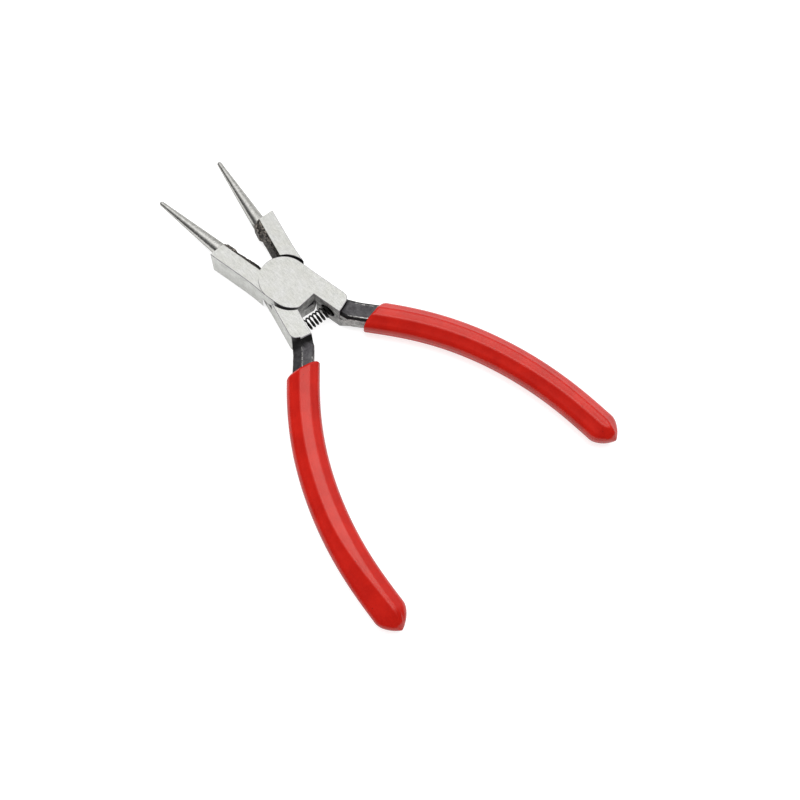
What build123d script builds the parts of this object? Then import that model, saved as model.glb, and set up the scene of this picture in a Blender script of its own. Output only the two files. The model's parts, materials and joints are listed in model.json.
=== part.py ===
from build123d import *
import os
from math import atan2, cos, degrees, radians, sin

# Round nose pliers with a lap joint, plastic dipped handles and a return spring (millimetres).
#
# Frame: the pivot axis is Z, z = 0 is the ground lower face of the head, the jaws point to +Y and
# the handles to -Y. The model is at rest, sprung open, with one lever turned each way from the
# closing plane x = 0. Lever A holds the upper lap disc, its jaw is on the left (-X) and its handle
# on the right. Lever B is the same forging turned over about Y. Every sub-part below is drawn in
# the closed position of lever A and is then turned to its place.

# Driving dimensions
OPEN_ANGLE = 24.6           # between the two levers at rest, degrees
HEAD_THICKNESS = 8.2
HEAD_HALF_WIDTH = 6.3       # also the radius of the lap disc's arcs
DISC_ARC_SHIFT = 1.4        # the disc's two arcs are centred this far before and behind the pivot
LAP_GAP = 0.05              # from the middle plane to each lap face
ARC_CLEARANCE = 0.15        # between a lap disc and the other lever's cut-outs, closed

JAW_TIP_Y = 41.3
JAW_TIP_RADIUS = 0.62
JAW_BASE_RADIUS = 1.95
BLOCK_FRONT_Y = 19.2        # inner corner of the square front that the round jaw grows from
BLOCK_CORNER_Y = 20.0       # outer corner of the front
BLOCK_INNER_X = 1.65
BLOCK_OUTER_X = 5.8
BLOCK_FLARE_Y = 9.0         # where the block's side starts to widen towards the joint
WALL_BULGE = 0.7            # forged inner wall, proud of the ground face's inner edge
WALL_REAR_Y = 7.0
PAD_REAR_Y = 16.4           # closing pad, from the front face back to here
PAD_HALF_HEIGHT = 2.3
PAD_CHAMFER = 0.7
CLOSING_GAP = 0.05          # from the closing plane to each pad and each jaw's inner line
DISC_STEP = 0.1             # the lap disc stands this much beyond its own jaw block, on both faces
ROOT_OVERLAP = 0.5          # how far added pieces of a lever run into its body

NECK_INNER_Y = 7.05         # rear edge of the lap disc, beside the shoulder
NECK_OUTER_Y = 6.0          # the same edge, run out to NECK_REACH
NECK_REACH = 8.0
SHOULDER_INNER_X = 1.3
SHOULDER_OUTER_X = 6.25
SHOULDER_INNER_END_Y = 15.0
SHOULDER_OUTER_END_Y = 14.4
SHOULDER_CORNER_RADIUS = 2.0
HEEL_END_Y = 17.2           # sloped heel between the lower face and the tang, on the inner side
HEEL_END_X = 1.9
HEEL_OUTER_X = 4.25

TANG_HALF_WIDTH = 2.6
TANG_HALF_HEIGHT = 2.5
GRIP_HALF_WIDTH = 3.9
GRIP_HALF_HEIGHT = 3.4
GRIP_START_Y = 21.2         # level that the handles are dipped to
TANG_END = 0.975            # the steel ends here, as a fraction of the handle's middle line
HANDLE_TAPER = 0.03         # loss of size from the bend to the end
END_ROUNDING = 5.0          # length of the bullet shaped end
END_POWER = 1.8             # the end narrows as (1 - t ** END_POWER) ** END_FULLNESS
END_FULLNESS = 0.85
END_ANGLES = (20, 38, 52, 64, 75)
BAR_STEPS = 14

# Cut corners of the handle's sections: upper outer, upper inner, lower outer, lower inner, and
# the height of the cuts at the upper corners, the lower outer one and the lower inner one.
# The forging's lower facet lies further in than its upper one.
TANG_FACETS = (0.85, 0.75, 2.3, 0.5, 0.8, 1.2, 0.45)
GRIP_FACETS = (2.75, 3.2, 3.2, 2.3, 2.15, 1.9, 1.5)

RIVET_RADIUS = 2.6
RIVET_HEAD_RADIUS = 3.6
RIVET_HEAD_DEPTH = 1.2
RIVET_CLEARANCE = 0.05      # radial, in lever B only

SPRING_Y = 11.3             # spring seat, measured in the closed position
SPRING_SEAT_RADIUS = 2.05
SPRING_SEAT_DEPTH = 2.2
SPRING_REACH = 0.85         # how much of the seat's depth the spring fills
SPRING_RADIUS = 1.32        # to the middle of the wire
SPRING_WIRE_RADIUS = 0.2
SPRING_TURNS = 10

BEYOND = 1.0                # how far a cutting solid runs past the face that it cuts
MID_Z = HEAD_THICKNESS / 2
HALF_ANGLE = OPEN_ANGLE / 2

# Middle line of the handle, closed: it leaves the shoulder, bends out and sweeps back in.
HANDLE_ROOT = [(3.65, -13.4, 0.0, 2.3), (4.35, -16.6, 15.5, 2.7)]   # x, y, turn, half width
HANDLE_LINE = [(5.55, -18.9), (8.75, -24.7), (13.95, -36.5), (17.4, -50.0), (18.65, -64.0),
               (17.9, -76.5), (16.1, -87.8)]


def stadium(radius):
    """Plan of the lap disc: two arcs joined by short straight sides."""
    front = Pos(0, DISC_ARC_SHIFT) * Circle(radius)
    rear = Pos(0, -DISC_ARC_SHIFT) * Circle(radius)
    return front + rear + Rectangle(2 * radius, 2 * DISC_ARC_SHIFT)


def block_plan():
    """Plan of the jaw block: a slanted front, and a side that widens smoothly into the joint."""
    edges = Polyline((-BLOCK_INNER_X, 0), (-BLOCK_INNER_X, BLOCK_FRONT_Y),
                     (-BLOCK_OUTER_X, BLOCK_CORNER_Y), (-BLOCK_OUTER_X, BLOCK_FLARE_Y))
    flare = Spline((-BLOCK_OUTER_X, BLOCK_FLARE_Y), (-HEAD_HALF_WIDTH, 0),
                   tangents=[(0, -1), (0, -1)])
    base = Line((-HEAD_HALF_WIDTH, 0), (-BLOCK_INNER_X, 0))
    return make_face([edges, flare, base])


def shoulder_plan():
    """Plan of the shoulder behind the joint, with one rounded outer corner."""
    plan = make_face(Polyline((SHOULDER_INNER_X, 0), (SHOULDER_INNER_X, -SHOULDER_INNER_END_Y),
                              (SHOULDER_OUTER_X, -SHOULDER_OUTER_END_Y), (SHOULDER_OUTER_X, 0),
                              close=True))
    outer_corner = plan.vertices().sort_by(Axis.Y)[1]
    return fillet(outer_corner, SHOULDER_CORNER_RADIUS)


def disc_plan():
    """Plan of the lap disc, cut nearly straight across behind the pivot."""
    behind = make_face(Polyline((-NECK_REACH, -NECK_OUTER_Y), (SHOULDER_INNER_X, -NECK_INNER_Y),
                                (SHOULDER_INNER_X, -2 * NECK_REACH), (-NECK_REACH, -2 * NECK_REACH),
                                close=True))
    return stadium(HEAD_HALF_WIDTH) - behind


def prism(plan, low, high):
    """A plan extruded between two heights."""
    return Pos(0, 0, low) * extrude(plan, high - low)


def inner_wall():
    """Forged inner side of the jaw block: a draft bulge along it and a closing pad at the front."""
    root = -BLOCK_INNER_X - ROOT_OVERLAP
    crest = WALL_BULGE - BLOCK_INNER_X
    profile = Polyline((root, 0), (-BLOCK_INNER_X, 0), (crest, WALL_BULGE),
                       (crest, HEAD_THICKNESS - WALL_BULGE), (-BLOCK_INNER_X, HEAD_THICKNESS),
                       (root, HEAD_THICKNESS), close=True)
    wall = extrude(Plane.XZ * make_face(profile), BLOCK_FRONT_Y - WALL_REAR_Y)
    pad_depth = BLOCK_INNER_X + ROOT_OVERLAP - CLOSING_GAP
    pad_length = BLOCK_FRONT_Y - PAD_REAR_Y
    pad = Box(pad_depth, pad_length, 2 * PAD_HALF_HEIGHT)
    pad = chamfer(pad.edges().filter_by(Axis.Y).sort_by(Axis.X)[-2:], PAD_CHAMFER)
    pad_place = Pos(-CLOSING_GAP - pad_depth / 2, PAD_REAR_Y + pad_length / 2, MID_Z)
    return Pos(0, BLOCK_FRONT_Y, 0) * wall + pad_place * pad


def round_jaw():
    """Tapered round jaw with a domed tip; its inner line lies on the closing plane."""
    base = Vector(-JAW_BASE_RADIUS - CLOSING_GAP, BLOCK_FRONT_Y - ROOT_OVERLAP, MID_Z)
    tip = Vector(-JAW_TIP_RADIUS - CLOSING_GAP, JAW_TIP_Y - JAW_TIP_RADIUS, MID_Z)
    along = tip - base
    cone = Solid.make_cone(JAW_BASE_RADIUS, JAW_TIP_RADIUS, along.length, Plane(base, z_dir=along))
    dome = Pos(tip.X, tip.Y, tip.Z) * Sphere(JAW_TIP_RADIUS)
    return cone + dome


def octagon(point, turn, half_width, half_height, facets):
    """Eight sided section at a point of the handle, across a direction turned out from -Y."""
    upper_outer, upper_inner, lower_outer, lower_inner, upper_side, outer_side, inner_side = facets
    w = half_width
    h = half_height
    corners = [(w - upper_outer, h), (w, h - upper_side), (w, outer_side - h), (w - lower_outer, -h),
               (lower_inner - w, -h), (-w, inner_side - h), (-w, h - upper_side), (upper_inner - w, h)]
    outward = (cos(radians(turn)), sin(radians(turn)), 0)
    along = (sin(radians(turn)), -cos(radians(turn)), 0)
    plane = Plane(origin=(point[0], point[1], MID_Z), x_dir=outward, z_dir=along)
    return plane * make_face(Polyline(*corners, close=True))


def handle_sections(half_width, half_height, facets, end):
    """Sections along the handle's middle line, narrowing to a rounded end at the given fraction."""
    line = Spline(*HANDLE_LINE)
    straight = end * line.length - END_ROUNDING
    distances = [straight * step / BAR_STEPS for step in range(BAR_STEPS + 1)]
    distances += [straight + END_ROUNDING * sin(radians(angle)) for angle in END_ANGLES]
    sections = []
    for distance in distances:
        fraction = distance / line.length
        rounding = max(0, distance - straight) / END_ROUNDING
        size = (1 - HANDLE_TAPER * fraction ** 2) * (1 - rounding ** END_POWER) ** END_FULLNESS
        point = line @ fraction
        direction = line % fraction
        turn = degrees(atan2(direction.X, -direction.Y))
        cuts = [facet * size for facet in facets]
        sections.append(octagon((point.X, point.Y), turn, half_width * size, half_height * size, cuts))
    return sections


def tang():
    """Steel tang under the grip: a short root, a bend and the long curved bar."""
    root = [octagon((x, y), turn, half_width, TANG_HALF_HEIGHT, TANG_FACETS)
            for x, y, turn, half_width in HANDLE_ROOT]
    bar = handle_sections(TANG_HALF_WIDTH, TANG_HALF_HEIGHT, TANG_FACETS, TANG_END)
    return loft(root + bar, ruled=True)


def heel():
    """Sloped step between the ground lower face and the tang's underside."""
    plan = make_face(Polyline((SHOULDER_INNER_X, -SHOULDER_OUTER_END_Y),
                              (SHOULDER_INNER_X, -SHOULDER_INNER_END_Y), (HEEL_END_X, -HEEL_END_Y),
                              (HEEL_OUTER_X, -HEEL_END_Y), (HEEL_OUTER_X, -SHOULDER_OUTER_END_Y),
                              close=True))
    tang_z = MID_Z - TANG_HALF_HEIGHT
    slope = Polyline((-HEEL_END_Y, tang_z), (-SHOULDER_INNER_END_Y, 0), (-SHOULDER_OUTER_END_Y, 0),
                     (-SHOULDER_OUTER_END_Y, MID_Z), (-HEEL_END_Y, MID_Z), close=True)
    return prism(plan, 0, MID_Z) & extrude(Plane.YZ * make_face(slope), 2 * HEEL_OUTER_X)


def spring_seat():
    """Blind round seat for the spring in the shoulder's inner side."""
    seat = Cylinder(SPRING_SEAT_RADIUS, SPRING_SEAT_DEPTH + BEYOND, rotation=(0, 90, 0))
    return Pos(SHOULDER_INNER_X + (SPRING_SEAT_DEPTH - BEYOND) / 2, -SPRING_Y, MID_Z) * seat


def forging():
    """One lever of the pair, closed, without its rivet hole."""
    body = prism(block_plan() + disc_plan() + shoulder_plan(), 0, HEAD_THICKNESS)
    body = body + inner_wall()
    lap_cut = prism(stadium(HEAD_HALF_WIDTH + ARC_CLEARANCE), -BEYOND, MID_Z + LAP_GAP)
    block_only = block_plan() - stadium(HEAD_HALF_WIDTH)
    upper_step = prism(block_only, HEAD_THICKNESS - DISC_STEP, HEAD_THICKNESS + BEYOND)
    lower_step = prism(block_only, -BEYOND, DISC_STEP)
    return body - lap_cut - upper_step - lower_step + round_jaw() + tang() + heel() - spring_seat()


def rivet(extra):
    """Flush rivet with a cone at each end, made larger all round by extra."""
    shank = RIVET_RADIUS + extra
    head = RIVET_HEAD_RADIUS + extra
    profile = Polyline((0, 0), (head, 0), (shank, RIVET_HEAD_DEPTH),
                       (shank, HEAD_THICKNESS - RIVET_HEAD_DEPTH), (head, HEAD_THICKNESS),
                       (0, HEAD_THICKNESS), close=True)
    return revolve(Plane.XZ * make_face(profile), Axis.Z)


def grip(steel):
    """Dipped sleeve round the tang, level where the dip ended."""
    sections = handle_sections(GRIP_HALF_WIDTH, GRIP_HALF_HEIGHT, GRIP_FACETS, 1)
    reach = 2 * JAW_TIP_Y
    above_dip = Pos(0, reach / 2 - GRIP_START_Y, MID_Z) * Box(reach, reach, reach)
    return loft(sections, ruled=True) - above_dip - steel


def return_spring():
    """Open coil spring across the gap between the shoulders, at rest."""
    seat = Vector(SHOULDER_INNER_X, -SPRING_Y, 0).rotate(Axis.Z, HALF_ANGLE)
    reach = seat.X + SPRING_SEAT_DEPTH * SPRING_REACH
    line_y = seat.Y + SPRING_SEAT_DEPTH / 2 * sin(radians(HALF_ANGLE))
    height = 2 * (reach - SPRING_WIRE_RADIUS)
    start = (-height / 2, line_y, MID_Z)
    coil = Helix(height / SPRING_TURNS, height, SPRING_RADIUS, center=start, direction=(1, 0, 0))
    section = Plane(origin=coil @ 0, z_dir=coil % 0) * Circle(SPRING_WIRE_RADIUS)
    return sweep(section, path=coil)


def as_lever_b(shape):
    """The same shape on lever B: turned over about Y."""
    return Pos(0, 0, HEAD_THICKNESS) * Rot(0, 180, 0) * shape


def write(name, shape, turn):
    """Turn a closed shape to its place at rest and write it."""
    placed = Rot(0, 0, turn) * shape
    placed.label = name
    export_step(placed, os.path.join("parts", name + ".step"))


def main():
    os.makedirs("parts", exist_ok=True)
    steel = forging()
    sleeve = grip(steel)
    write("lever_a", steel - rivet(0), HALF_ANGLE)
    write("lever_b", as_lever_b(steel) - rivet(RIVET_CLEARANCE), -HALF_ANGLE)
    write("grip_a", sleeve, HALF_ANGLE)
    write("grip_b", as_lever_b(sleeve), -HALF_ANGLE)
    write("pivot_rivet", rivet(0), HALF_ANGLE)
    write("return_spring", return_spring(), 0)


main()
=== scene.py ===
import json
from math import cos, pi, radians, sin, sqrt

import bmesh
import bpy
import numpy as np
from mathutils import Matrix, Vector, noise


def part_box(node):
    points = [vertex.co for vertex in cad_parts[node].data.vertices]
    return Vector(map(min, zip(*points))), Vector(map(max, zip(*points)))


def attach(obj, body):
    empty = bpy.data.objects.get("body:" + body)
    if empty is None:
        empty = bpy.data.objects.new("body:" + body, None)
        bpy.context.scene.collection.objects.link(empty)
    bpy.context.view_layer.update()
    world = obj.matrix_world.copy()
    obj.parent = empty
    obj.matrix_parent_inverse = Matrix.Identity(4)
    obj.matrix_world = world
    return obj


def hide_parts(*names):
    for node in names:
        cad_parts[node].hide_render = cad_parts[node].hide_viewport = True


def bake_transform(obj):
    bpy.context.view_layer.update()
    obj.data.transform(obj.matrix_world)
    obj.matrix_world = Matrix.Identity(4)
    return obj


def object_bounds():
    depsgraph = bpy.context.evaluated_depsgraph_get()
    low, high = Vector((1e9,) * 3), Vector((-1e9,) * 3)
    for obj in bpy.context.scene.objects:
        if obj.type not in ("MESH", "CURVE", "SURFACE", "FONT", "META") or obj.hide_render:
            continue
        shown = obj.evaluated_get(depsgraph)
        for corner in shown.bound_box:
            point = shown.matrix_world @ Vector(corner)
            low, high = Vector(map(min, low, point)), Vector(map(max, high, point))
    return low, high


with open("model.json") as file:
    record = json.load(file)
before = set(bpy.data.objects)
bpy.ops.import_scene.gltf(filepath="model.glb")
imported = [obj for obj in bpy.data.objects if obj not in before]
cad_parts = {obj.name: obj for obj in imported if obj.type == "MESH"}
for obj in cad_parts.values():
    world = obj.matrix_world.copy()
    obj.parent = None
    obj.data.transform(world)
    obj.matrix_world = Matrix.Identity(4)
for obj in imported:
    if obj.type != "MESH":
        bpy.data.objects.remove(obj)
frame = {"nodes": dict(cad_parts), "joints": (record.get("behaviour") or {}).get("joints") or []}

# Round nose pliers: the looks. Lengths below are in millimetres and go to metres through MM.
MM = 0.001
CAD_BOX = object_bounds()
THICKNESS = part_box("lever_a")[1].z / MM
MID_Z = THICKNESS / 2
CLOSING_DEGREES = frame["joints"][0]["range_deg"][1]
HALF_ANGLE = radians(CLOSING_DEGREES / 2)

# Places on a closed lever, as in the design or within a millimetre of it.
BLOCK_FRONT_Y = 19.2
BLOCK_CORNER_Y = 20.0
BLOCK_INNER_X = 1.65
WALL_BULGE = 0.7
WALL_REAR_Y = 7.2
PAD_REAR_Y = 16.4
WALL_DARK_Y = 8.5           # the forged wall is black here, and brown with bare specks at WALL_LIGHT_Y
WALL_LIGHT_Y = 15.5
LAP_RADIUS = 6.45           # the arcs cut for the other lever's disc
LAP_ARC_SHIFT = 1.4
NECK_Y = 6.0
SHOULDER_INNER_X = 1.3
SHOULDER_END_Y = 14.3
HEEL_END_Y = 17.2
SPRING_Y = 11.3
SPRING_SEAT_RADIUS = 2.05
TANG_HALF_WIDTH = 2.6
TANG_HALF_HEIGHT = 2.5
TANG_FACETS = (0.85, 0.75, 2.3, 0.5, 0.8, 1.2, 0.45)
GRIP_FACETS = (2.75, 3.2, 3.2, 2.3, 2.15, 1.9, 1.5)

# A closed lever A is turned to its place; lever B is the same forging turned over about Y.
PLACE_A = Matrix.Rotation(HALF_ANGLE, 4, "Z")
TURNED_OVER = Matrix.Translation((0, 0, THICKNESS * MM)) @ Matrix.Rotation(pi, 4, "Y")
PLACE_B = Matrix.Rotation(-HALF_ANGLE, 4, "Z") @ TURNED_OVER
LEVERS = {"a": PLACE_A, "b": PLACE_B}


# ---------------------------------------------------------------- materials

SPAN_SOCKETS = ("From Min", "From Max", "To Min", "To Max")
SCRATCH_TURN = radians(12)  # the grinding scratches run a little across the lever

# Painted shade: black colour on the tang just behind the shoulder, standing in for the shadow in the
# recess there
POCKET_SHADE_COLOUR = (0.006, 0.006, 0.006)
POCKET_SHADE_RAGGED = 2.0           # how unevenly it ends
POCKET_SHADE_FADE = 0.9
POCKET_SHADE_ENDS = (-15.0, -16.9)  # where it ends on each lever


class Shader:
    """A Principled material and the few nodes that its colour, roughness and bump come from."""

    def __init__(self, name, metallic=0.0, **sockets):
        self.material = bpy.data.materials.new(name)
        self.material.use_nodes = True
        self.nodes = self.material.node_tree.nodes
        self.links = self.material.node_tree.links
        self.surface = self.nodes["Principled BSDF"]
        self.surface.inputs["Metallic"].default_value = metallic
        for socket, value in sockets.items():
            self.surface.inputs[socket.replace("_", " ")].default_value = value
        self.place = self.nodes.new("ShaderNodeTexCoord").outputs["Object"]

    def stretched(self, turn, scale):
        """Object coordinates turned about Z and stretched along an axis."""
        mapping = self.nodes.new("ShaderNodeMapping")
        mapping.inputs["Rotation"].default_value = (0, 0, turn)
        mapping.inputs["Scale"].default_value = scale
        self.links.new(self.place, mapping.inputs["Vector"])
        return mapping.outputs["Vector"]

    def along(self, turn):
        """The place along the closed lever, in metres."""
        split = self.nodes.new("ShaderNodeSeparateXYZ")
        self.links.new(self.stretched(turn, (1, 1, 1)), split.inputs["Vector"])
        return split.outputs["Y"]

    def noise(self, size, detail=3.0, rough=0.55, place=None):
        """Noise whose features are about size millimetres wide."""
        node = self.nodes.new("ShaderNodeTexNoise")
        node.inputs["Scale"].default_value = 1 / (size * MM)
        node.inputs["Detail"].default_value = detail
        node.inputs["Roughness"].default_value = rough
        self.links.new(place or self.place, node.inputs["Vector"])
        return node.outputs["Fac"]

    def specks(self, spacing, reach):
        """1 in small dots that lie about spacing millimetres apart, 0 elsewhere."""
        node = self.nodes.new("ShaderNodeTexVoronoi")
        node.inputs["Scale"].default_value = 1 / (spacing * MM)
        self.links.new(self.place, node.inputs["Vector"])
        return self.span(node.outputs["Distance"], reach, reach / 2, 0, 1)

    def span(self, value, low, high, new_low, new_high):
        """A value mapped from one span to another, and held at its ends."""
        node = self.nodes.new("ShaderNodeMapRange")
        for socket, number in zip(SPAN_SOCKETS, (low, high, new_low, new_high)):
            node.inputs[socket].default_value = number
        self.links.new(value, node.inputs["Value"])
        return node.outputs["Result"]

    def ramp(self, value, *stops):
        """Colours along a value; each stop is a place and a colour."""
        node = self.nodes.new("ShaderNodeValToRGB")
        while len(node.color_ramp.elements) < len(stops):
            node.color_ramp.elements.new(1.0)
        for element, (place, colour) in zip(node.color_ramp.elements, stops):
            element.position = place
            element.color = (*colour, 1.0)
        self.links.new(value, node.inputs["Fac"])
        return node.outputs["Color"]

    def mix(self, factor, first, second, blend="MIX"):
        """Two colours mixed by a factor; either may be a plain colour."""
        node = self.nodes.new("ShaderNodeMix")
        node.data_type = "RGBA"
        node.blend_type = blend
        for socket, value in ((0, factor), (6, first), (7, second)):
            if isinstance(value, (tuple, float, int)):
                node.inputs[socket].default_value = (*value, 1.0) if isinstance(value, tuple) else value
            else:
                self.links.new(value, node.inputs[socket])
        return node.outputs[2]

    def add(self, first, second, weight):
        """first + weight * second."""
        node = self.nodes.new("ShaderNodeMath")
        node.operation = "MULTIPLY_ADD"
        node.inputs[1].default_value = weight
        self.links.new(second, node.inputs[0])
        self.links.new(first, node.inputs[2])
        return node.outputs["Value"]

    def colour(self, value):
        self.links.new(value, self.surface.inputs["Base Color"])

    def roughness(self, value):
        self.links.new(value, self.surface.inputs["Roughness"])

    def bump(self, height, depth, strength=1.0):
        """Bump from a height of 0 to 1 that stands for depth millimetres."""
        node = self.nodes.new("ShaderNodeBump")
        node.inputs["Strength"].default_value = strength
        node.inputs["Distance"].default_value = depth * MM
        self.links.new(height, node.inputs["Height"])
        self.links.new(node.outputs["Normal"], self.surface.inputs["Normal"])


def ground_steel(name, turn):
    """Flat faces from the grinding wheel: pale satin steel with a fine mottle and short faint lines."""
    steel = Shader(name, metallic=0.9)
    fine = steel.noise(0.22, 4, 0.65)
    streaks = steel.noise(0.45, 3, 0.6, steel.stretched(turn, (1.0, 0.3, 1.0)))
    scratches = steel.noise(0.07, 2, 0.5, steel.stretched(turn + SCRATCH_TURN, (1.0, 0.03, 1.0)))
    patches = steel.noise(2.6, 2)
    grain = steel.add(steel.add(fine, streaks, 0.7), scratches, 0.5)
    shade = steel.ramp(steel.span(grain, 0.8, 1.4, 0, 1),
                       (0.0, (0.46, 0.465, 0.44)), (0.5, (0.64, 0.64, 0.62)), (1.0, (0.82, 0.82, 0.805)))
    tint = steel.ramp(steel.span(patches, 0.35, 0.65, 0, 1),
                      (0.0, (0.95, 0.95, 0.925)), (1.0, (1.0, 1.0, 1.0)))
    steel.colour(steel.mix(1.0, shade, tint, "MULTIPLY"))
    steel.roughness(steel.span(grain, 0.8, 1.4, 0.3, 0.46))
    steel.bump(scratches, 0.004)
    return steel.material


def side_steel(name):
    """Milled sides of the head, with a fine dull grain."""
    steel = Shader(name, metallic=0.85)
    grain = steel.noise(0.3, 5, 0.7)
    patches = steel.noise(2.0, 2)
    both = steel.add(grain, patches, 0.5)
    steel.colour(steel.ramp(steel.span(both, 0.5, 1.0, 0, 1),
                            (0.0, (0.50, 0.505, 0.48)),
                            (0.5, (0.70, 0.705, 0.675)),
                            (1.0, (0.88, 0.885, 0.86))))
    steel.roughness(steel.span(grain, 0.3, 0.7, 0.38, 0.55))
    steel.bump(grain, 0.02)
    return steel.material


def jaw_steel(name, turn):
    """Round jaws, turned and polished, with faint marks across them."""
    steel = Shader(name, metallic=1.0, Specular_Tint=(0.3, 0.3, 0.29, 1.0))
    marks = steel.noise(0.3, 3, 0.65, steel.stretched(turn, (0.4, 1.2, 0.4)))
    patches = steel.noise(0.9, 3)
    both = steel.add(marks, patches, 0.8)
    steel.colour(steel.ramp(steel.span(both, 0.6, 1.2, 0, 1),
                            (0.0, (0.50, 0.495, 0.465)), (1.0, (0.88, 0.87, 0.84))))
    steel.roughness(steel.span(both, 0.6, 1.2, 0.15, 0.3))
    steel.bump(marks, 0.01)
    return steel.material


def scale_and_shade_steel(name, low, high, grain_size=0.2, turn=0.0, pocket_shade_end=0.0):
    """Blackened forged skin from grey low to grey high, and black painted shade from the shoulder back to
    the given end, for the shadow in the recess there. Its darker copies also serve as painted shade: black
    in gaps and the spring bore, dark along the ground faces' edges, darker on the side facets.
    """
    steel = Shader(name, metallic=0.3)
    cloud = steel.noise(1.2, 4, 0.65)
    grain = steel.noise(grain_size, 3, 0.65)
    both = steel.add(cloud, grain, 0.6)
    middle = (low + high) / 2
    shade = steel.ramp(steel.span(both, 0.6, 1.0, 0, 1), (0.0, (low, low * 0.94, low * 1.04)),
                       (0.6, (middle, middle * 0.95, middle * 1.03)), (1.0, (high, high * 0.98, high)))
    # painted shade: the colour turns black from the shoulder back to the given end, for the shadow in the
    # recess behind the shoulder
    if pocket_shade_end:
        place = steel.add(steel.along(turn), cloud, POCKET_SHADE_RAGGED * MM)
        fade_start = pocket_shade_end + POCKET_SHADE_RAGGED / 2
        pocket_shade = steel.span(place, fade_start * MM, (fade_start + POCKET_SHADE_FADE) * MM, 0, 1)
        shade = steel.mix(pocket_shade, shade, POCKET_SHADE_COLOUR)
    steel.colour(shade)
    steel.roughness(steel.span(grain, 0.3, 0.7, 0.42, 0.62))
    steel.bump(steel.add(cloud, grain, 0.4), 0.05)
    return steel.material


def forged_steel(name, turn):
    """Rough forged inner walls: brown-black scale with bare specks, darker to the rear."""
    steel = Shader(name, metallic=0.35)
    lumps = steel.noise(0.7, 4, 0.7)
    grain = steel.noise(0.3, 3, 0.75)
    both = steel.add(lumps, grain, 1.1)
    shade = steel.ramp(steel.span(both, 0.93, 1.24, 0, 1),
                       (0.0, (0.003, 0.0025, 0.002)), (0.35, (0.025, 0.021, 0.018)),
                       (0.6, (0.14, 0.12, 0.10)), (1.0, (0.60, 0.54, 0.48)))
    rear = steel.span(steel.along(turn), WALL_DARK_Y * MM, WALL_LIGHT_Y * MM, 0, 1)
    tint = steel.ramp(rear, (0.0, (0.16, 0.16, 0.16)), (1.0, (1.0, 1.0, 1.0)))
    steel.colour(steel.mix(1.0, shade, tint, "MULTIPLY"))
    steel.roughness(steel.span(grain, 0.3, 0.7, 0.45, 0.7))
    steel.bump(both, 0.15)
    return steel.material


def trimmed_steel(name):
    """Sawn and trimmed sides: mid grey steel with a coarse grain and dark pits."""
    steel = Shader(name, metallic=0.6)
    grain = steel.noise(0.35, 5, 0.75)
    patches = steel.noise(1.6, 3)
    both = steel.add(grain, patches, 0.7)
    steel.colour(steel.ramp(steel.span(both, 0.6, 1.1, 0, 1), (0.0, (0.03, 0.029, 0.028)),
                            (0.4, (0.33, 0.33, 0.32)), (1.0, (0.72, 0.72, 0.70))))
    steel.roughness(steel.span(grain, 0.3, 0.7, 0.4, 0.65))
    steel.bump(both, 0.06)
    return steel.material


def worn_and_highlit_edge(name):
    """Edges of the tangs, lighter than the tang faces all along as a painted highlight, and rubbed bright
    in places.
    """
    steel = Shader(name, metallic=0.4)
    wear = steel.noise(1.1, 4, 0.7)
    steel.colour(steel.ramp(steel.span(wear, 0.4, 0.62, 0, 1),
                            (0.0, (0.06, 0.058, 0.058)),
                            (0.5, (0.25, 0.245, 0.24)),
                            (1.0, (0.68, 0.67, 0.65))))
    steel.roughness(steel.span(wear, 0.35, 0.65, 0.5, 0.32))
    steel.bump(steel.noise(0.25, 3, 0.6), 0.03)
    return steel.material


def spring_wire(name):
    """Blackened music wire."""
    wire = Shader(name, metallic=0.7)
    cloud = wire.noise(0.6, 3)
    wire.colour(wire.ramp(cloud, (0.3, (0.006, 0.006, 0.006)), (0.75, (0.035, 0.034, 0.033))))
    wire.roughness(wire.span(cloud, 0.3, 0.7, 0.28, 0.45))
    wire.bump(wire.noise(0.15, 2), 0.01)
    return wire.material


def red_vinyl(name):
    """Glossy dipped vinyl with a slightly uneven skin and a few specks."""
    vinyl = Shader(name, IOR=1.56, Specular_Tint=(1.0, 0.94, 0.86, 1.0))
    cloud = vinyl.noise(5.0, 3)
    mottle = vinyl.noise(0.5, 3, 0.6)
    shade = vinyl.ramp(vinyl.span(vinyl.add(cloud, mottle, 0.35), 0.5, 0.85, 0, 1),
                       (0.0, (0.45, 0.006, 0.0025)), (1.0, (0.55, 0.0105, 0.0045)))
    dots = vinyl.specks(2.4, 0.06)
    vinyl.colour(vinyl.mix(dots, shade, (0.20, 0.004, 0.003)))
    vinyl.roughness(vinyl.span(mottle, 0.3, 0.7, 0.2, 0.27))
    vinyl.bump(vinyl.add(cloud, mottle, 0.09), 0.06)
    return vinyl.material


# ---------------------------------------------------------------- mesh helpers

def new_piece(name, bm, place, materials):
    """A mesh object in the row frame from a bmesh in millimetres drawn on a closed lever."""
    bm.transform(place @ Matrix.Scale(MM, 4))
    bmesh.ops.recalc_face_normals(bm, faces=bm.faces)
    mesh = bpy.data.meshes.new(name)
    bm.to_mesh(mesh)
    bm.free()
    for material in materials:
        mesh.materials.append(material)
    mesh.shade_smooth()
    piece = bpy.data.objects.new(name, mesh)
    bpy.context.scene.collection.objects.link(piece)
    return piece


def skin(bm, rings, closed_ring=True):
    """Quads between rings of the same number of points; returns the rings' vertices."""
    rows = [[bm.verts.new(point) for point in ring] for ring in rings]
    count = len(rows[0])
    for first, second in zip(rows, rows[1:]):
        for i in range(count if closed_ring else count - 1):
            j = (i + 1) % count
            bm.faces.new((first[i], first[j], second[j], second[i]))
    return rows


def smoothstep(value, low, high):
    t = max(0.0, min(1.0, (value - low) / (high - low)))
    return t * t * (3 - 2 * t)


# ---------------------------------------------------------------- levers

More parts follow.
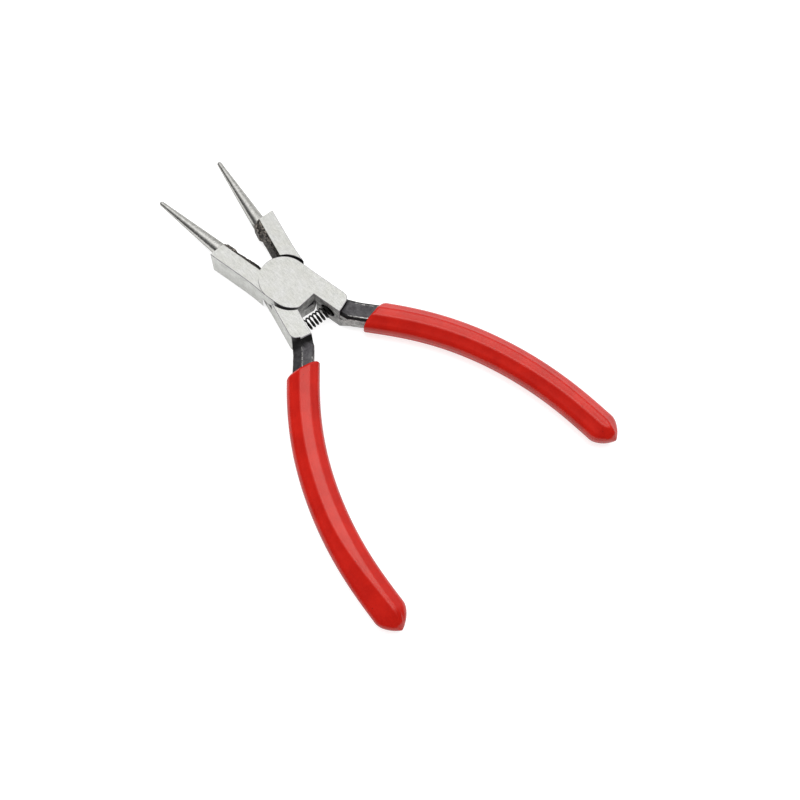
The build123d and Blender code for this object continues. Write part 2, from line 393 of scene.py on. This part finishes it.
WELD = 0.002                # points nearer than this are one point
FLAT_ANGLE = radians(0.3)   # facets that meet at less than this are one face
REAR_OF_SHOULDER_Y = -SHOULDER_END_Y - 0.9
SHORT_IN_Y = 0.3            # edges that run less than this along the lever keep their corners
FINISHES = ("ground", "side", "jaw", "tang", "black", "worn_and_highlight", "trimmed", "forged", "facet", "rim")
GROUND_EDGE = 0.14          # rounding of the ground faces' edges
TANG_EDGE = 0.16            # rounding of the tang's edges
SHARP = radians(35)
TANG_SHARP = radians(20)
RIVET_EDGE = 4.2            # edges nearer to the pivot axis belong to the rivet and its hole
LEVEL = 0.9                 # a face whose normal has more than this along Z is level
STEEP = 0.8                 # and one with more than this along X or Y faces that way
SMOOTH_BELOW = radians(34)
FLAT_WEIGHT = 80            # how much the large faces rule the shading of the rounded edges
SHORT = 0.2                 # edges at a vertex with a shorter edge are left sharp


def in_lap(x, y, z, normal):
    """Whether a face bears on or faces the other lever's disc."""
    if abs(z - MID_Z) < 0.3 and abs(normal.z) > LEVEL and y > -NECK_Y - 2:
        return True
    arc_y = y - LAP_ARC_SHIFT if y > LAP_ARC_SHIFT else min(y + LAP_ARC_SHIFT, 0.0)
    radius = sqrt(x * x + arc_y * arc_y)
    inward = -(normal.x * x + normal.y * arc_y)
    return abs(radius - LAP_RADIUS) < 0.12 and inward > 0.7 * radius


def tang_finish(x, y, normal):
    """Finish of a face behind the shoulder."""
    if normal.x < -STEEP:
        return "trimmed"
    # painted shade: the steep rear-facing wall at the heel is black for the shadow in the recess behind
    # the shoulder
    if y > -HEEL_END_Y and normal.y < -STEEP:
        return "black"
    if normal.z > 0.3 and abs(normal.x) > 0.3:
        return "black"
    # painted shade: the outward side facets take a darker copy of the tang's oxide
    return "facet" if normal.z < 0.3 and normal.x > 0.3 else "tang"


def finish_of(centre, normal):
    """Which finish a face has, from its centre and normal on the closed lever."""
    x, y, z = centre
    at_face = min(z, THICKNESS - z) < 0.25
    if y > BLOCK_CORNER_Y - 0.3 and abs(normal.y) < STEEP and not (at_face and abs(normal.z) > LEVEL):
        return "jaw"
    if abs(normal.z) > LEVEL and at_face and y > REAR_OF_SHOULDER_Y:
        return "ground"
    # painted shade: faces in the gap beside the other lever's disc take the black finish, standing in for
    # the shadow in that gap
    if in_lap(x, y, z, normal):
        return "black"
    rear_corner = REAR_OF_SHOULDER_Y < y < -SHOULDER_END_Y + 2.0
    if abs(normal.z) < 0.2 and rear_corner and x > SHOULDER_INNER_X + 1:
        # painted shade: the shoulder's rear wall takes the black finish for the shadow that falls on it
        if normal.y < -0.45:
            return "black"
        if normal.x > 0.3:
            return "side"
    if y < -SHOULDER_END_Y + 0.2:
        return tang_finish(x, y, normal)
    if -BLOCK_INNER_X - 0.02 < x < 0 and WALL_REAR_Y - 0.3 < y < BLOCK_FRONT_Y - 0.02:
        return "forged"
    # painted shade: the spring's bore takes the black finish for the shade inside it
    seat = sqrt((y + SPRING_Y) ** 2 + (z - MID_Z) ** 2) < SPRING_SEAT_RADIUS + 0.02
    if seat and x > SHOULDER_INNER_X + 0.05 and y < -NECK_Y:
        return "black"
    if y < -NECK_Y - 0.5 and normal.x < -STEEP:
        return "trimmed"
    if -NECK_Y - 2 < y < -NECK_Y + 0.5 and normal.y < -0.5 and x < SHOULDER_INNER_X + 0.5:
        return "trimmed"
    return "side"


def round_edges(bm, edges, radius, finish):
    """Bevel edges to a radius; the new faces take a finish."""
    bmesh.ops.bevel(bm, geom=edges, offset=radius, offset_type="OFFSET", segments=3, profile=0.5,
                    affect="EDGES", clamp_overlap=False, material=finish)
    bm.normal_update()


def is_sharp(edge, angle):
    return len(edge.link_faces) == 2 and edge.is_convex and edge.calc_face_angle(0) > angle


def sharp_edges(bm, angle):
    """Edges sharper than an angle that have no short edge next to them."""
    short = {v for e in bm.edges if e.calc_length() < SHORT for v in e.verts}
    return [e for e in bm.edges if is_sharp(e, angle) and not short.intersection(e.verts)]


def tang_edges(bm):
    """The long edges of the tang."""
    return [e for e in sharp_edges(bm, TANG_SHARP)
            if max(v.co.y for v in e.verts) < REAR_OF_SHOULDER_Y
            and abs(e.verts[0].co.y - e.verts[1].co.y) > SHORT_IN_Y]


def ground_edges(bm):
    """Edges in front of the tang, without the rivet hole's and the forged wall's."""
    forged = FINISHES.index("forged")
    return [e for e in sharp_edges(bm, SHARP)
            if min(v.co.y for v in e.verts) > REAR_OF_SHOULDER_Y
            and min(v.co.xy.length for v in e.verts) > RIVET_EDGE
            and forged not in [f.material_index for f in e.link_faces]]


def steel_lever(letter, place, materials):
    """The forging as designed, with its facets merged, its edges rounded and a finish on each face."""
    node = frame["nodes"]["lever_" + letter]
    bm = bmesh.new()
    bm.from_mesh(node.data)
    bm.transform(Matrix.Scale(1 / MM, 4) @ place.inverted())
    bmesh.ops.remove_doubles(bm, verts=bm.verts, dist=WELD)
    bmesh.ops.dissolve_limit(bm, angle_limit=FLAT_ANGLE, verts=bm.verts, edges=bm.edges)
    bm.normal_update()
    for face in bm.faces:
        face.material_index = FINISHES.index(finish_of(face.calc_center_median(), face.normal))
    # the tang's rounded edges get a lighter finish: a painted highlight along them, with rubbed wear in
    # places
    round_edges(bm, tang_edges(bm), TANG_EDGE, FINISHES.index("worn_and_highlight"))
    # painted shade: the rounded edges of the ground faces take the dark rim finish, a dark line standing
    # in for the edge shading
    round_edges(bm, ground_edges(bm), GROUND_EDGE, FINISHES.index("rim"))
    bmesh.ops.remove_doubles(bm, verts=bm.verts, dist=WELD)
    bmesh.ops.dissolve_degenerate(bm, edges=bm.edges, dist=WELD)
    piece = new_piece("steel_lever_" + letter, bm, place, [materials[f] for f in FINISHES])
    piece.data.set_sharp_from_angle(angle=SMOOTH_BELOW)
    weighted = piece.modifiers.new("flat_faces", "WEIGHTED_NORMAL")
    weighted.weight = FLAT_WEIGHT
    weighted.keep_sharp = True
    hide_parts("lever_" + letter)
    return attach(piece, f"lever_{letter}_body")


# Rough skin of the forged inner wall
WALL_EDGE = 0.12            # it ends this far from the upper and lower faces
WALL_NEAREST_X = -0.06      # and keeps this far from the middle plane between the jaws
WALL_SEEDS = (3.1, 11.7)
SHELL_REAR_Y = 7.9          # behind this the other lever's disc turns
WALL_ROWS = 72
WALL_COLUMNS = 44
WALL_PROUD = 0.05
WALL_LUMPS = 0.12
WALL_SWELLS = (0.45, -0.12)  # more or less bulge towards the rear on each lever
WALL_BELLY = 0.22           # the wall stands further out halfway along


def wall_point(y, t, seed, swell):
    """A point of the forged wall at a place along the jaw and a fraction t from bottom to top."""
    z = WALL_EDGE + t * (THICKNESS - 2 * WALL_EDGE)
    across = abs(2 * t - 1)
    middle = (WALL_REAR_Y + BLOCK_FRONT_Y) / 2
    belly = WALL_BELLY * max(0.0, 1 - ((y - middle) / (BLOCK_FRONT_Y - middle)) ** 2)
    rear = swell * (1 - smoothstep(y, WALL_REAR_Y + 2, PAD_REAR_Y))
    bulge = (WALL_BULGE + belly + rear) * (1 - across ** (6 if swell > 0 else 5))
    pad = smoothstep(y, PAD_REAR_Y - 0.5, PAD_REAR_Y + 0.5) * (1 - smoothstep(across, 0.45, 0.78))
    reach = BLOCK_INNER_X - WALL_BULGE - WALL_EDGE
    lumps = noise.fractal(Vector((y, z, seed)) * 0.9, 0.8, 2.0, 4)
    fine = noise.fractal(Vector((y, z, seed + 7)) * 3.2, 0.9, 2.0, 3)
    fade = 1 - smoothstep(across, 0.8, 0.98)
    rough = (WALL_LUMPS * lumps + WALL_LUMPS * 0.4 * fine) * fade
    x = -BLOCK_INNER_X + WALL_PROUD + bulge + pad * reach + rough * (1 - 0.5 * pad)
    return Vector((min(x, WALL_NEAREST_X), y, z))


def forged_wall(letter, place, material, seed, swell):
    """Rough forged side of the jaw block, a thin shell let into the steel."""
    bm = bmesh.new()
    front = BLOCK_FRONT_Y - 0.04
    rings = []
    for row in range(WALL_ROWS + 1):
        y = front + (SHELL_REAR_Y - front) * row / WALL_ROWS
        shown = [wall_point(y, column / WALL_COLUMNS, seed, swell) for column in range(WALL_COLUMNS + 1)]
        hidden = [Vector((-BLOCK_INNER_X - 0.3, y, point.z)) for point in (shown[-1], shown[0])]
        rings.append(shown + hidden)
    rows = skin(bm, rings)
    bm.faces.new(rows[0])
    bm.faces.new(rows[-1])
    piece = new_piece("forged_wall_" + letter, bm, place, [material])
    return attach(piece, f"lever_{letter}_body")


# ---------------------------------------------------------------- grips

GRIP_HALF_HEIGHT = (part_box("grip_a")[1].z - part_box("grip_a")[0].z) / MM / 2
DIP_LEVEL = -21.2           # the vinyl starts at this level, measured on the closed lever
END_ROUNDING = 5.0
END_POWER = 1.8             # the end narrows as (1 - t ** END_POWER) ** END_FULLNESS
END_FULLNESS = 0.85
SPREAD = (0.06, 0.06, 0.45, 0.1)    # the facets beside the bands grow by these shares
SPREAD_LENGTH = 26.0        # over this length before the rounded end
BAND_END = 0.9              # a band ends where it has narrowed to this share of its facets
CLOSING_SIZE = 0.45         # where the end starts to close from above and below
CLOSING_POWER = 0.6
LIP = 0.9                   # length of the rounded lip
LEAN_FADE = 9.0             # the slant of the dip line has gone this far down the handle
CREST = 0.35                # rounding of the four edges beside the flat bands
SIDE_ROUNDING = 1.45        # rounding of the four edges at the sides
CROWN = 0.03                # bulge of each facet
CORNER_SHARE = 0.45         # a corner's rounding takes at most this share of a side
CORNER_STEPS = (0.0, 0.17, 0.34, 0.5, 0.66, 0.83, 1.0)
SIDE_STEPS = (0.1, 0.5, 0.9)
STEEL_GAP = 0.03            # between the tang and the vinyl's inside
STEEL_CORNER = 0.2
END_DEGREES = 84            # the rounded end is drawn to here, and a point closes it
END_RINGS = 22
FULLNESS = 0.15             # the vinyl is this much fuller on each side than the design's sleeve
GRIP_STEPS = 96
LINE_DEGREE = 6


def middle_line(node, place):
    """The handle's middle line on the closed lever, x as a polynomial of y, and its lowest y."""
    back = Matrix.Scale(1 / MM, 4) @ place.inverted()
    points = np.array([back @ v.co for v in node.data.vertices])
    ends = np.array([e.vertices[:] for e in node.data.edges])
    low = points[:, 1].min()
    levels = np.linspace(DIP_LEVEL - 3.5, low + END_ROUNDING + 1.5, 48)
    middles = []
    for level in levels:
        a, b = points[ends[:, 0]], points[ends[:, 1]]
        crossing = (a[:, 1] - level) * (b[:, 1] - level) < 0
        a, b = a[crossing], b[crossing]
        x = a[:, 0] + (b[:, 0] - a[:, 0]) * ((level - a[:, 1]) / (b[:, 1] - a[:, 1]))
        middles.append((x.min() + x.max()) / 2)
    tip = points[points[:, 1] < low + 0.05]
    line = np.polyfit(np.append(levels, low), np.append(middles, tip[:, 0].mean()), LINE_DEGREE)
    return np.poly1d(line), low


def half_width(node, place, line):
    """Half the grip's width across its middle line, halfway down."""
    back = Matrix.Scale(1 / MM, 4) @ place.inverted()
    points = np.array([back @ v.co for v in node.data.vertices])
    slope = np.polyder(line)(points[:, 1])
    offset = (points[:, 0] - line(points[:, 1])) / np.sqrt(1 + slope ** 2)
    return float(np.percentile(offset, 97))


def outline(w, top, bottom, facets, crest, side, crown):
    """The handle's eight sided section with rounded corners and crowned sides, outward and up."""
    upper_outer, upper_inner, lower_outer, lower_inner, upper_side, outer_side, inner_side = facets
    corners = [(w - upper_outer, top), (w, top - upper_side),
               (w, outer_side - bottom), (w - lower_outer, -bottom),
               (lower_inner - w, -bottom), (-w, inner_side - bottom),
               (-w, top - upper_side), (upper_inner - w, top)]
    corners = [Vector(c) for c in corners]
    radii = [crest, side, side, crest, crest, side, side, crest]
    points = []
    for i, here in enumerate(corners):
        j = (i + 1) % len(corners)
        into, out = here - corners[i - 1], corners[j] - here
        start = here - into.normalized() * min(radii[i], into.length * CORNER_SHARE)
        end = here + out.normalized() * min(radii[i], out.length * CORNER_SHARE)
        for t in CORNER_STEPS:
            points.append(start * (1 - t) ** 2 + here * 2 * t * (1 - t) + end * t * t)
        away = Vector((-out.y, out.x)).normalized()
        following = corners[j] - out.normalized() * min(radii[j], out.length * CORNER_SHARE)
        for t in SIDE_STEPS:
            points.append(end.lerp(following, t) - away * crown * (1 - (2 * t - 1) ** 2))
    return points


def vinyl_section(w, size, spread):
    """The vinyl's section: its facets spread towards the end, and there the bands run out in a point."""
    widths = [facet * (1 + grown * spread) for facet, grown in zip(GRIP_FACETS, SPREAD)]
    sides = [side * (1 + grown * spread) for side, grown in zip(GRIP_FACETS[4:], SPREAD[1:])]
    upper = min(1.0, BAND_END * 2 * w * size / (widths[0] + widths[1]))
    lower = min(1.0, BAND_END * 2 * w * size / (widths[2] + widths[3]))
    shares = (upper, upper, lower, lower, upper, lower, lower)
    top = GRIP_HALF_HEIGHT - sides[0] * (1 - upper)
    bottom = GRIP_HALF_HEIGHT - sides[1] * (1 - lower)
    facets = [facet * share for facet, share in zip((*widths, *sides), shares)]
    closing = min(1.0, size / CLOSING_SIZE) ** CLOSING_POWER
    points = outline(w * size, top, bottom, facets, CREST, SIDE_ROUNDING, CROWN)
    return [Vector((p.x, p.y * closing)) for p in points]


def vinyl_grip(letter, place, material):
    """Dipped grip: rounded lip at the dip level, eight soft edges and a blunt rounded end."""
    node = frame["nodes"]["grip_" + letter]
    line, low = middle_line(node, place)
    slope = np.polyder(line)
    w = half_width(node, place, line) + FULLNESS
    y_fine = np.linspace(DIP_LEVEL, low, 1500)
    steps = np.hypot(np.diff(y_fine), np.diff(line(y_fine)))
    length = np.append(0, np.cumsum(steps))
    lean = -float(slope(DIP_LEVEL))

    def ring(distance, section, fade):
        """Section points carried to the handle; near the lip they slide so that the dip line is level."""
        made = []
        for a, z in section:
            along = distance + fade * lean * a
            y = float(np.interp(along, length, y_fine))
            over = along - length[-1] if along > length[-1] else min(along, 0.0)
            tangent = Vector((-float(slope(y)), -1.0)).normalized()
            across = Vector((-tangent.y, tangent.x))
            centre = Vector((float(line(y)), y)) + tangent * over
            spot = centre + across * a
            made.append(Vector((spot.x, spot.y, MID_Z + z)))
        return made

    total = length[-1]
    width, height = TANG_HALF_WIDTH + STEEL_GAP, TANG_HALF_HEIGHT + STEEL_GAP
    steel = outline(width, height, height, TANG_FACETS, STEEL_CORNER, STEEL_CORNER, 0.0)
    vinyl = vinyl_section(w, 1.0, 0.0)
    rings = [ring(depth, steel, 1.0) for depth in (3.0, 0.6)]
    for t in np.linspace(0, 1, 9):
        swell = sqrt(1 - (1 - t) ** 2) if t < 1 else 1.0
        section = [s.lerp(v, 0.10 + 0.90 * swell) for s, v in zip(steel, vinyl)]
        rings.append(ring(LIP * t, section, 1.0))
    straight = total - END_ROUNDING
    for distance in np.linspace(LIP, straight, GRIP_STEPS)[1:]:
        spread = smoothstep(distance, straight - SPREAD_LENGTH, straight)
        fade = 1 - smoothstep(distance, LIP, LEAN_FADE)
        rings.append(ring(distance, vinyl_section(w, 1.0, spread), fade))
    for angle in np.linspace(0, END_DEGREES, END_RINGS)[1:]:
        t = sin(radians(angle))
        size = (1 - t ** END_POWER) ** END_FULLNESS
        rings.append(ring(straight + END_ROUNDING * t, vinyl_section(w, size, 1.0), 0.0))
    bm = bmesh.new()
    rows = skin(bm, rings)
    bm.faces.new(rows[0])
    tip = bm.verts.new(sum((v.co for v in rows[-1]), Vector()) / len(rows[-1]))
    for i, vertex in enumerate(rows[-1]):
        bm.faces.new((rows[-1][i - 1], vertex, tip))
    piece = new_piece("vinyl_grip_" + letter, bm, place, [material])
    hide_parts("grip_" + letter)
    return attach(piece, f"lever_{letter}_body")


# ---------------------------------------------------------------- spring

WIRE_RADIUS = 0.22
COIL_RADIUS = 1.45
CLOSED_TURNS = 1.2
OPEN_TURNS = 9.4
COIL_STEP_DEGREES = 12
WIRE_SIDES = 12
COIL_DROP = (-0.22, 0.02)   # the coil lies low in seat A and nearly in the middle of seat B


def coil_centreline():
    """Points along the spring's wire, from seat B to seat A, with closed end turns."""
    low, high = (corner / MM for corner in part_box("return_spring"))
    half = (high.x - low.x) / 2 - WIRE_RADIUS
    middle_y = (high.y + low.y) / 2
    middle_z = (high.z + low.z) / 2
    closed = CLOSED_TURNS * 2 * WIRE_RADIUS * 1.04
    turns = OPEN_TURNS + 2 * CLOSED_TURNS
    count = int(turns * 360 / COIL_STEP_DEGREES)
    points = []
    for i in range(count + 1):
        turn = turns * i / count
        if turn < CLOSED_TURNS:
            along = closed * turn / CLOSED_TURNS
        elif turn > turns - CLOSED_TURNS:
            along = 2 * half - closed * (turns - turn) / CLOSED_TURNS
        else:
            along = closed + (2 * half - 2 * closed) * (turn - CLOSED_TURNS) / OPEN_TURNS
        share = along / (2 * half)
        drop = COIL_DROP[1] + (COIL_DROP[0] - COIL_DROP[1]) * share
        angle = 2 * pi * turn
        points.append(Vector((along - half, middle_y + drop + COIL_RADIUS * cos(angle),
                              middle_z + COIL_RADIUS * sin(angle))))
    return points


def coil_spring(material):
    """Compression spring between the shoulders."""
    points = coil_centreline()
    rings = []
    for i, point in enumerate(points):
        ahead = points[min(i + 1, len(points) - 1)] - points[max(i - 1, 0)]
        tangent = ahead.normalized()
        side = tangent.cross(Vector((1, 0, 0))).normalized()
        other = tangent.cross(side)
        rings.append([point + WIRE_RADIUS * (side * cos(2 * pi * k / WIRE_SIDES)
                                             + other * sin(2 * pi * k / WIRE_SIDES))
                      for k in range(WIRE_SIDES)])
    bm = bmesh.new()
    rows = skin(bm, rings)
    bm.faces.new(rows[0])
    bm.faces.new(rows[-1])
    piece = new_piece("coil_spring", bm, Matrix.Identity(4), [material])
    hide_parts("return_spring")
    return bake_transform(piece)


# ---------------------------------------------------------------- studio

CAMERA_AZIMUTH = radians(50.0)
CAMERA_ELEVATION = radians(68.96)
CAMERA_ROLL = radians(9.06)
CAMERA_DISTANCE = 0.270
CAMERA_AIM = Vector((0.00285, -0.03935, 0.0))
LENS = 49.2
SENSOR = 36.0


def camera():
    """The camera, above and in front of the pliers, turned a little about its own axis."""
    az, el = CAMERA_AZIMUTH, CAMERA_ELEVATION
    view = Vector((sin(az) * cos(el), cos(az) * cos(el), -sin(el)))
    right = Vector((cos(az), -sin(az), 0))
    up = right.cross(view)
    x = right * cos(CAMERA_ROLL) + up * sin(CAMERA_ROLL)
    y = up * cos(CAMERA_ROLL) - right * sin(CAMERA_ROLL)
    data = bpy.data.cameras.new("camera")
    data.lens = LENS
    data.sensor_width = SENSOR
    data.clip_start = 0.01
    data.clip_end = 20
    made = bpy.data.objects.new("camera", data)
    turned = Matrix((x, y, -view)).transposed().to_4x4()
    made.matrix_world = Matrix.Translation(CAMERA_AIM - view * CAMERA_DISTANCE) @ turned
    bpy.context.scene.collection.objects.link(made)
    bpy.context.scene.camera = made


FLOOR_SIZE = 12.0
FLOOR_GLOW = 0.8
FLOOR_GLOW_MIRRORED = 0.4   # the white sheet is dimmer in the steel and the vinyl than to the eye


def floor():
    """White table, lit from below a little as a light table is."""
    bm = bmesh.new()
    bmesh.ops.create_grid(bm, x_segments=8, y_segments=8, size=FLOOR_SIZE / 2)
    mesh = bpy.data.meshes.new("floor")
    bm.to_mesh(mesh)
    bm.free()
    table = bpy.data.objects.new("floor", mesh)
    table.location = (CAMERA_AIM.x, CAMERA_AIM.y, CAD_BOX[0].z - 0.0001)
    bpy.context.scene.collection.objects.link(table)
    paper = Shader("white_table", Emission_Color=(1, 1, 1, 1))
    paper.colour(paper.ramp(paper.noise(40.0), (0.0, (0.42, 0.42, 0.42)), (1.0, (0.45, 0.45, 0.45))))
    mirrored = paper.nodes.new("ShaderNodeLightPath").outputs["Is Glossy Ray"]
    strength = paper.span(mirrored, 0, 1, FLOOR_GLOW, FLOOR_GLOW_MIRRORED)
    paper.links.new(strength, paper.surface.inputs["Emission Strength"])
    paper.surface.inputs["Roughness"].default_value = 0.9
    paper.surface.inputs["Specular IOR Level"].default_value = 0.0
    mesh.materials.append(paper.material)


SKY_HEAD = Vector((0.08, 0.2, 0.975))       # towards the brightest part of the ceiling
SKY = ((0.0, 0.035), (0.30, 0.045), (0.60, 0.065), (0.80, 0.20),
       (0.88, 0.45), (0.94, 0.58), (0.98, 0.64), (0.993, 1.0))
SKY_STRENGTH = 2.0
GLOW_HEAD = Vector((0.9, 0.35, 0.25))       # towards a second, weaker soft light at the side
GLOW_SPAN = (0.55, 0.95)
GLOW = 0.22
LAMP_SIZE = 0.7
LAMP_ENERGY = 7.5
LAMP_PLACE = (0.1, 0.1, 0.9)
BACKDROP = 0.49             # what the camera sees past the table, before the strength


def studio_light():
    """Dim walls, a bright ceiling, a soft side light and a pale backdrop, and a lamp for matt surfaces."""
    world = bpy.data.worlds.new("studio")
    bpy.context.scene.world = world
    world.use_nodes = True
    nodes, links = world.node_tree.nodes, world.node_tree.links
    place = nodes.new("ShaderNodeTexCoord").outputs["Generated"]
    towards = nodes.new("ShaderNodeVectorMath")
    towards.operation = "DOT_PRODUCT"
    towards.inputs[1].default_value = SKY_HEAD.normalized()
    ramp = nodes.new("ShaderNodeValToRGB")
    links.new(place, towards.inputs[0])
    links.new(towards.outputs["Value"], ramp.inputs["Fac"])
    while len(ramp.color_ramp.elements) < len(SKY):
        ramp.color_ramp.elements.new(1.0)
    for element, (place_on_ramp, level) in zip(ramp.color_ramp.elements, SKY):
        element.position = place_on_ramp
        element.color = (level, level, level, 1)
    aside = nodes.new("ShaderNodeVectorMath")
    aside.operation = "DOT_PRODUCT"
    aside.inputs[1].default_value = GLOW_HEAD.normalized()
    glow = nodes.new("ShaderNodeMapRange")
    glow.interpolation_type = "SMOOTHSTEP"
    for socket, number in zip(SPAN_SOCKETS, (*GLOW_SPAN, 0.0, GLOW)):
        glow.inputs[socket].default_value = number
    both = nodes.new("ShaderNodeMix")
    both.data_type = "RGBA"
    both.blend_type = "ADD"
    both.inputs[0].default_value = 1.0
    links.new(place, aside.inputs[0])
    links.new(aside.outputs["Value"], glow.inputs["Value"])
    links.new(ramp.outputs["Color"], both.inputs[6])
    links.new(glow.outputs["Result"], both.inputs[7])
    seen = nodes.new("ShaderNodeLightPath").outputs["Is Camera Ray"]
    backdrop = nodes.new("ShaderNodeMix")
    backdrop.data_type = "RGBA"
    backdrop.inputs[7].default_value = (BACKDROP, BACKDROP, BACKDROP, 1)
    links.new(seen, backdrop.inputs[0])
    links.new(both.outputs[2], backdrop.inputs[6])
    links.new(backdrop.outputs[2], nodes["Background"].inputs["Color"])
    nodes["Background"].inputs["Strength"].default_value = SKY_STRENGTH
    light = bpy.data.lights.new("soft_box", "AREA")
    light.shape = "RECTANGLE"
    light.size = LAMP_SIZE
    light.size_y = LAMP_SIZE
    light.energy = LAMP_ENERGY
    box = bpy.data.objects.new("soft_box", light)
    box.location = LAMP_PLACE
    box.rotation_mode = "QUATERNION"
    box.rotation_quaternion = (Vector(box.location) - CAMERA_AIM).to_track_quat("Z", "Y")
    box.visible_glossy = False
    bpy.context.scene.collection.objects.link(box)


def main():
    camera()
    floor()
    studio_light()
    bpy.context.scene.view_settings.view_transform = "Standard"
    shared = {"side": side_steel("milled_side"),
              # black scale, also used as painted shade in gaps, the spring bore and on the shoulder's rear
              # walls
              "black": scale_and_shade_steel("black_scale_and_shade", 0.003, 0.02, 0.3),
              # lighter tang edges: painted highlight and rubbed wear
              "worn_and_highlight": worn_and_highlit_edge("worn_and_highlit_edge"),
              # dark rim colour: painted shade along the ground faces' rounded edges
              "rim": scale_and_shade_steel("ground_rim_painted_shade", 0.16, 0.36),
              "trimmed": trimmed_steel("trimmed_side")}
    vinyl = red_vinyl("dipped_vinyl")
    turns = (-HALF_ANGLE, HALF_ANGLE)
    per_lever = zip(LEVERS.items(), turns, WALL_SEEDS, POCKET_SHADE_ENDS, WALL_SWELLS)
    for (letter, place), turn, seed, pocket_shade, swell in per_lever:
        own = {"ground": ground_steel("ground_face_" + letter, turn),
               "jaw": jaw_steel("round_jaw_" + letter, turn),
               "forged": forged_steel("forged_scale_" + letter, turn),
               # painted shade: the tang's oxide turns black just behind the shoulder, for the shadow in
               # the recess there
               "tang": scale_and_shade_steel("oxide_tang_shaded_" + letter, 0.035, 0.11, 0.2, turn, pocket_shade),
               # painted shade: the side facets get a darker copy of the tang's oxide, also black behind
               # the shoulder
               "facet": scale_and_shade_steel("oxide_facet_shaded_" + letter, 0.02, 0.07, 0.2, turn, pocket_shade)}
        steel_lever(letter, place, {**shared, **own})
        forged_wall(letter, place, own["forged"], seed, swell)
        vinyl_grip(letter, place, vinyl)
    coil_spring(spring_wire("black_wire"))
    rivet = frame["nodes"]["pivot_rivet"]
    for slot in rivet.material_slots:
        slot.material = ground_steel("rivet_face", -HALF_ANGLE)


main()
